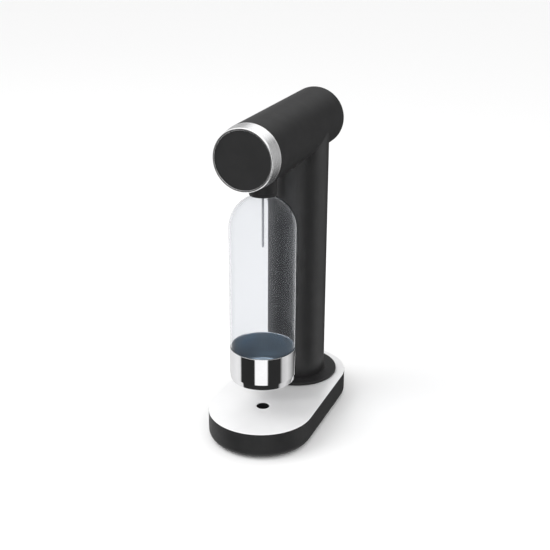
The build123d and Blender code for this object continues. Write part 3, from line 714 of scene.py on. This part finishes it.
make_knob_ring()
make_knob_face()
make_tray()
make_feet()
make_cup()
make_liner()
make_bottle()
make_collar()
make_spring("plunger_spring", "base", (0, 0, 1), 3, 0.35 * MM)
make_spring("valve_spring", "gas_cylinder", (0, 0, 1), 5, 0.5 * MM)
make_spring("relief_spring", "base", (1, 0, 0), 4, 0.35 * MM)


# ---------------------------------------------------------------- floor, light and camera
def make_floor():
    """Pale matte studio floor, kept out of mirror reflections so that the light's bands show in them."""
    size = 14.0
    bm = bmesh.new()
    bmesh.ops.create_grid(bm, x_segments=4, y_segments=4, size=size)
    mesh = bpy.data.meshes.new("floor")
    bm.to_mesh(mesh)
    bm.free()
    floor = bpy.data.objects.new("floor", mesh)
    bpy.context.scene.collection.objects.link(floor)
    material = new_material("pale_floor", (0.93, 0.93, 0.93), 0.9, Specular_IOR_Level=0.1)
    set_bump(material, noise(material, object_vector(material), 300), 0.03, 0.1 * MM)
    mesh.materials.append(material)
    floor.visible_glossy = False


def make_lamp(name, place, target, width, power):
    """A square soft light that faces a point and stays out of mirror reflections."""
    data = bpy.data.lights.new(name, "AREA")
    data.shape = "SQUARE"
    data.size = width
    data.energy = power
    lamp = bpy.data.objects.new(name, data)
    bpy.context.scene.collection.objects.link(lamp)
    lamp.location = place
    lamp.rotation_euler = (Vector(target) - Vector(place)).to_track_quat("-Z", "Y").to_euler()
    lamp.visible_glossy = False


def grey(level):
    """A neutral colour."""
    return (level, level, level, 1)


def add_ramp(tree, stops, source):
    """A smooth brightness ramp over 0 to 1."""
    ramp = tree.nodes.new("ShaderNodeValToRGB")
    ramp.color_ramp.interpolation = "LINEAR"
    elements = ramp.color_ramp.elements
    for position, level in stops[1:-1]:
        elements.new(position)
    for element, (position, level) in zip(elements, stops):
        element.position = position
        element.color = grey(level)
    tree.links.new(source, ramp.inputs["Fac"])
    return ramp.outputs["Color"]


# brightness that mirrors see below the horizon, by compass direction: 0 is the front, + is towards +X
LEFT_BANDS = [(-180, 0.08), (-160, 0.12), (-138, 0.80), (-80, 1.00), (-63, 0.90), (-58, 0.03)]
FRONT_PANEL = [(-7, 0.025), (-4, 1.18), (37, 1.20), (41, 0.03)]
RIGHT_BANDS = [(86, 0.03), (96, 0.66), (118, 0.80), (134, 0.60), (150, 0.32), (164, 0.08), (180, 0.08)]
LOW_BANDS = LEFT_BANDS + FRONT_PANEL + RIGHT_BANDS
DEEP_BANDS = LEFT_BANDS + RIGHT_BANDS       # lower down, under the front panel's end
# shares of the deep bands, the sky and the ground, by the sine of the elevation
DEEP_STOPS = [(-1.0, 1.0), (-0.55, 1.0), (-0.51, 0.0), (1.0, 0.0)]
SKY_STOPS = [(-1.0, 0.0), (0.38, 0.0), (0.52, 1.0), (1.0, 1.0)]
GROUND_STOPS = [(-1.0, 1.0), (-0.86, 1.0), (-0.76, 0.0), (1.0, 0.0)]
SKY_LEVEL = 1.3            # brightness of the sky in mirrors
GROUND_LEVEL = 1.4         # brightness of the ground in mirrors
SOFT_SKY = 1.00            # what everything but mirrors sees all round


def make_world():
    """Studio surround: mirrors see bright and dark panels, everything else sees an even soft white."""
    world = bpy.data.worlds.new("studio")
    bpy.context.scene.world = world
    world.use_nodes = True
    tree = world.node_tree
    tree.nodes.clear()
    direction = tree.nodes.new("ShaderNodeTexCoord").outputs["Generated"]
    split = tree.nodes.new("ShaderNodeSeparateXYZ")
    tree.links.new(direction, split.inputs["Vector"])

    def math(operation, first, second=None):
        node = tree.nodes.new("ShaderNodeMath")
        node.operation = operation
        for socket, value in zip(node.inputs, (first, second)):
            if isinstance(value, (int, float)):
                socket.default_value = value
            elif value is not None:
                tree.links.new(value, socket)
        return node.outputs["Value"]

    def mix(factor, first, second):
        node = tree.nodes.new("ShaderNodeMix")
        node.data_type = "RGBA"
        colour_a, colour_b = node.inputs[6], node.inputs[7]
        for socket, value in ((node.inputs["Factor"], factor), (colour_a, first), (colour_b, second)):
            if isinstance(value, tuple):
                socket.default_value = value
            else:
                tree.links.new(value, socket)
        return node.outputs[2]

    turn = math("ARCTAN2", split.outputs["X"], math("MULTIPLY", split.outputs["Y"], -1.0))
    around = math("ADD", math("DIVIDE", turn, 2 * pi), 0.5)
    height = math("ADD", math("MULTIPLY", split.outputs["Z"], 0.5), 0.5)
    bands = add_ramp(tree, [(degree / 360 + 0.5, level) for degree, level in LOW_BANDS], around)
    deep = add_ramp(tree, [(degree / 360 + 0.5, level) for degree, level in DEEP_BANDS], around)
    deep_share = add_ramp(tree, [(z / 2 + 0.5, level) for z, level in DEEP_STOPS], height)
    sky_share = add_ramp(tree, [(z / 2 + 0.5, level) for z, level in SKY_STOPS], height)
    ground_share = add_ramp(tree, [(z / 2 + 0.5, level) for z, level in GROUND_STOPS], height)
    with_sky = mix(sky_share, mix(deep_share, bands, deep), grey(SKY_LEVEL))
    mirrored = mix(ground_share, with_sky, grey(GROUND_LEVEL))
    path = tree.nodes.new("ShaderNodeLightPath")
    seen = mix(path.outputs["Is Glossy Ray"], grey(SOFT_SKY), mirrored)
    background = tree.nodes.new("ShaderNodeBackground")
    tree.links.new(seen, background.inputs["Color"])
    output = tree.nodes.new("ShaderNodeOutputWorld")
    tree.links.new(background.outputs["Background"], output.inputs["Surface"])


def make_camera():
    """Camera to the right of the front, above the head, looking down at the machine."""
    turn_deg = 22.6            # to the right of the front
    distance = 1.1969          # level distance from the bottle's axis
    height = 0.667             # above the tray
    pitch_deg = 21.8
    lens_mm = 66.41
    shift = 0.022              # the bottle stands this share of the frame left of the middle
    data = bpy.data.cameras.new("camera")
    data.lens = lens_mm
    data.sensor_width = 36.0
    data.shift_x = shift
    data.clip_start = 0.01
    data.clip_end = 60.0
    camera = bpy.data.objects.new("camera", data)
    bpy.context.scene.collection.objects.link(camera)
    turn = radians(turn_deg)
    camera.location = (distance * sin(turn), bottle_y - distance * cos(turn), tray_z + height)
    camera.rotation_euler = (radians(90 - pitch_deg), 0, turn)
    bpy.context.scene.camera = camera


make_floor()
make_world()
middle = (0, 0, head_z / 2)
make_lamp("key", (-1.1, -0.75, 1.7), middle, 1.3, 16)
make_lamp("front_fill", (0.5, -1.8, 1.0), middle, 1.6, 9)
make_camera()
bpy.context.scene.view_settings.view_transform = "Standard"
